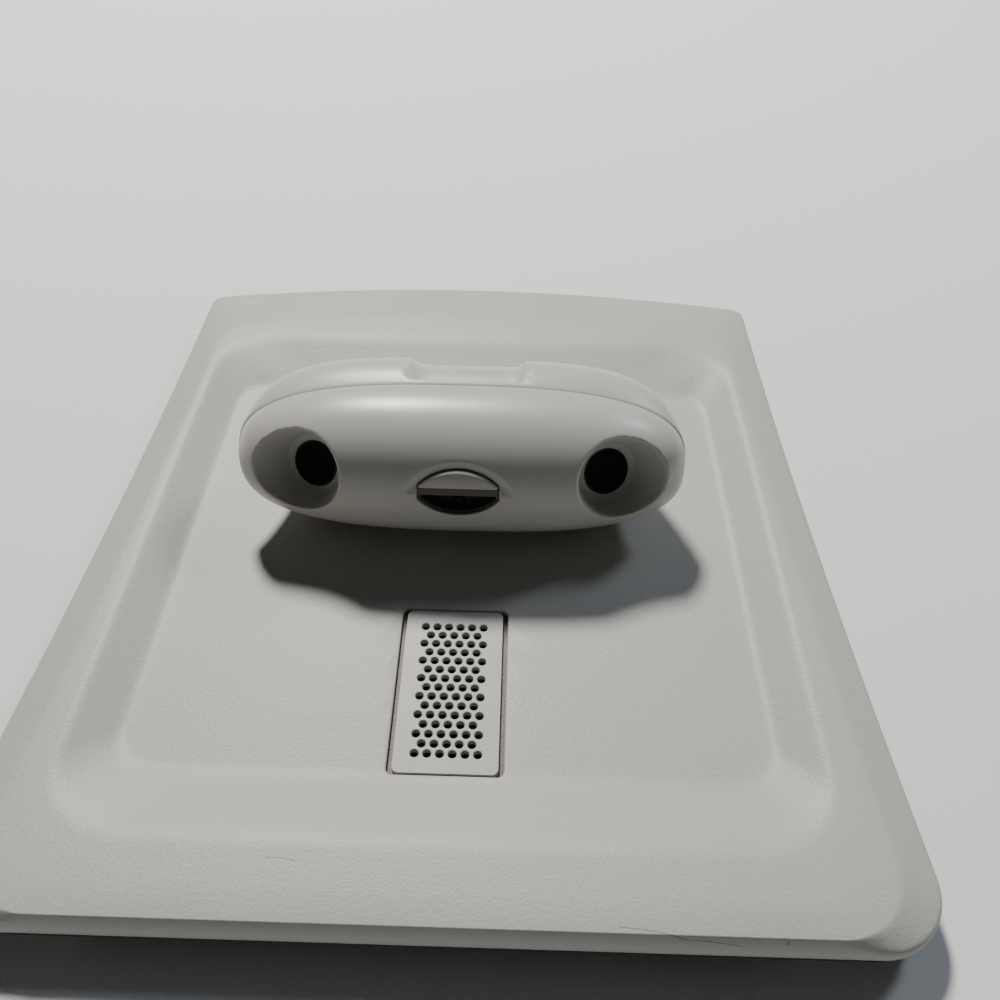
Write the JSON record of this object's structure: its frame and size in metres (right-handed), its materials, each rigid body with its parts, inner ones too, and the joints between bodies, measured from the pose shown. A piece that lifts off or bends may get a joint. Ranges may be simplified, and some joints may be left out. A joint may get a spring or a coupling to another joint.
{
  "type": "ultrasonic motion sensor panel",
  "caption": "Moulded overhead trim panel with a shallow tray, an oval pod with outward-looking ultrasonic transducers, a push tab, and a perforated microphone grille.",
  "frame": {"origin": "centre of the rear plane that the four screw bosses stand on, at the middle of the panel's box", "axes": "+X across the panel, +Y from the wide edge to the narrow bowed edge, +Z out of the visible face"},
  "size_m": [0.2144, 0.225, 0.0501],
  "materials": {
    "grained_trim": "fine leather grain",
    "satin_shell": "satin",
    "black_plastic": "matte",
    "seal_foam": "closed-cell foam",
    "soft_rubber": "matte",
    "felt": "felt",
    "black_mesh": "matte black",
    "black_can": "black anodised",
    "cone_metal": "satin",
    "ceramic": "fired",
    "plated_pins": "tin plated",
    "brass": "knurled",
    "zinc_screw": "zinc plated",
    "board_green": "solder mask",
    "component_body": "moulded epoxy",
    "crystal_metal": "drawn can",
    "led_lens": "clear"
  },
  "bodies": {
    "panel": {"acoustic_felt": "felt", "board_components": "component_body", "board_screws": "zinc_screw", "connector_header": "black_plastic", "connector_pins": "plated_pins", "controller_chip": "component_body", "crystal": "crystal_metal", "driver_coils": "component_body", "edge_seal": "seal_foam", "grille_insert": "grained_trim", "holder_screws": "zinc_screw", "led_leads": "plated_pins", "microphone_capsule": "cone_metal", "microphone_holder": "black_plastic", "microphone_pins": "plated_pins", "microphone_ring": "soft_rubber", "pod_front_shell": "satin_shell", "pod_rear_shell": "satin_shell", "pod_screws": "zinc_screw", "sensor_board": "board_green", "slot_liner": "black_plastic", "status_led": "led_lens", "tab_switch": "black_plastic", "threaded_inserts": "brass", "transducer_base_left": "black_plastic", "transducer_base_right": "black_plastic", "transducer_boot_left": "soft_rubber", "transducer_boot_right": "soft_rubber", "transducer_can_left": "black_can", "transducer_can_right": "black_can", "transducer_cone_left": "cone_metal", "transducer_cone_right": "cone_metal", "transducer_mesh_left": "black_mesh", "transducer_mesh_right": "black_mesh", "transducer_piezo_left": "ceramic", "transducer_piezo_right": "ceramic", "transducer_pins_left": "plated_pins", "transducer_pins_right": "plated_pins", "trim_panel": "grained_trim"},
    "tab": {"push_tab": "satin_shell", "switch_plunger": "black_plastic"}
  },
  "joints": [
    {"name": "tab_push", "type": "slide", "parent": "panel", "child": "tab", "axis": [0, 0.8829, -0.4695], "range_m": [0, 0.001], "stiffness_N_per_m": 1500, "springref_m": -0.0005}
  ]
}
